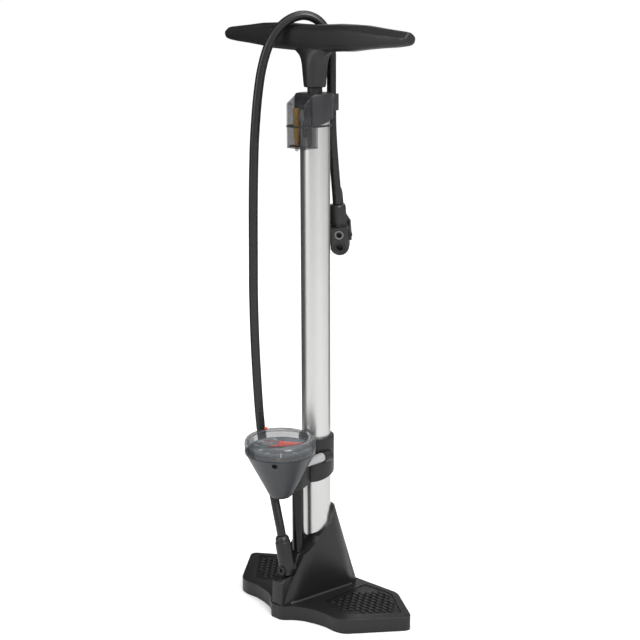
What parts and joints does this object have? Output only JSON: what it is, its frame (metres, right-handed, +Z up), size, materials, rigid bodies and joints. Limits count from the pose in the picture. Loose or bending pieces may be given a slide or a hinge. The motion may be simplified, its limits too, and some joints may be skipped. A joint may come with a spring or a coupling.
{
  "type": "floor bike pump",
  "caption": "Floor pump with foot base, metal barrel, cross handle, front gauge, storage cap and a hose looped over the handle to a twin valve head.",
  "frame": {"origin": "on the barrel axis at the floor, in the middle of the base's underside", "axes": "+X along the handle and the feet, -Y towards the gauge, +Z up the barrel"},
  "size_m": [0.2664, 0.1514, 0.6626],
  "materials": {
    "base_plastic": "moulded glass-filled nylon, satin",
    "handle_plastic": "moulded, fine satin texture",
    "cap_plastic": "moulded, fine satin texture",
    "smoked_plastic": "smoked clear moulding",
    "clear_bezel": "smoked clear moulding",
    "gauge_plastic": "moulded, matt grey",
    "tread_rubber": "moulded rubber with raised diamonds",
    "seal_rubber": "moulded rubber",
    "hose_rubber": "extruded, semi-gloss",
    "barrel_aluminium": "drawn tube, satin anodised",
    "rod_steel": "ground and chromed",
    "steel": "turned and plated",
    "brass": "turned",
    "acetal": "turned acetal",
    "nozzle_plastic": "moulded",
    "needle_red": "painted and moulded red",
    "dial_face": "printed scale",
    "post_grey": "moulded, pale grey",
    "pipe_black": "black anodised tube",
    "head_plastic": "moulded, satin"
  },
  "bodies": {
    "stand": {"base": "base_plastic", "tread_left": "tread_rubber", "tread_right": "tread_rubber", "base_feet": "seal_rubber", "barrel_tube": "barrel_aluminium", "barrel_seal": "seal_rubber", "check_valve_seat": "brass", "check_valve_spring": "steel", "top_cap": "cap_plastic", "guide_bush": "acetal", "wiper_seal": "seal_rubber", "hose_clip": "cap_plastic", "storage_tray": "cap_plastic", "storage_band": "seal_rubber", "air_nozzle": "nozzle_plastic", "ball_needle": "steel", "valve_adapter": "steel", "gauge_clamp": "base_plastic", "clamp_screws": "steel", "gauge_posts": "post_grey", "gauge_pipe": "pipe_black", "pipe_ferrule": "steel", "pipe_nut": "brass", "gauge_housing": "gauge_plastic", "gauge_seal": "seal_rubber", "bourdon_tube": "brass", "gauge_dial": "dial_face", "hose_elbow": "base_plastic", "elbow_bolt": "pipe_black", "hose_nut": "base_plastic", "hose": "hose_rubber", "head_body": "head_plastic", "head_sleeve": "head_plastic", "wide_grommet": "seal_rubber", "narrow_grommet": "seal_rubber", "face_ring": "steel", "lever_pin": "steel"},
    "plunger": {"handle": "handle_plastic", "handle_bolt": "steel", "rod": "rod_steel", "rod_bumper": "seal_rubber", "piston": "acetal", "piston_seal": "seal_rubber", "piston_nut": "steel"},
    "check_ball": {"check_valve_ball": "steel"},
    "needle": {"gauge_needle": "needle_red"},
    "bezel": {"gauge_lens": "clear_bezel", "gauge_marker": "needle_red"},
    "cover": {"storage_cover": "smoked_plastic"},
    "lever": {"head_lever": "head_plastic"}
  },
  "joints": [
    {"name": "pump_slide", "type": "slide", "parent": "stand", "child": "plunger", "axis": [0, 0, 1], "range_m": [0, 0.45], "deforming": ["hose"]},
    {"name": "check_ball_lift", "type": "slide", "parent": "stand", "child": "check_ball", "axis": [0, 0, -1], "range_m": [0, 0.002], "stiffness_N_per_m": 10, "springref_m": -0.004, "deforming": ["check_valve_spring"]},
    {"name": "needle_turn", "type": "hinge", "parent": "stand", "child": "needle", "pos_m": [0, -0.0555, 0.2], "axis": [0, 0, -1], "range_deg": [0, 270], "stiffness_Nm_per_rad": 0.0002},
    {"name": "bezel_turn", "type": "hinge", "parent": "stand", "child": "bezel", "pos_m": [0, -0.0555, 0.2], "axis": [0, 0, 1], "range_deg": [-150, 150]},
    {"name": "cover_pull", "type": "slide", "parent": "stand", "child": "cover", "axis": [0, -1, 0], "range_m": [0, 0.03], "deforming": ["storage_band"]},
    {"name": "lever_turn", "type": "hinge", "parent": "stand", "child": "lever", "pos_m": [-0.00321, 0.0416, 0.42007], "axis": [-0.766, -0.6395, -0.065], "range_deg": [0, 90]}
  ]
}
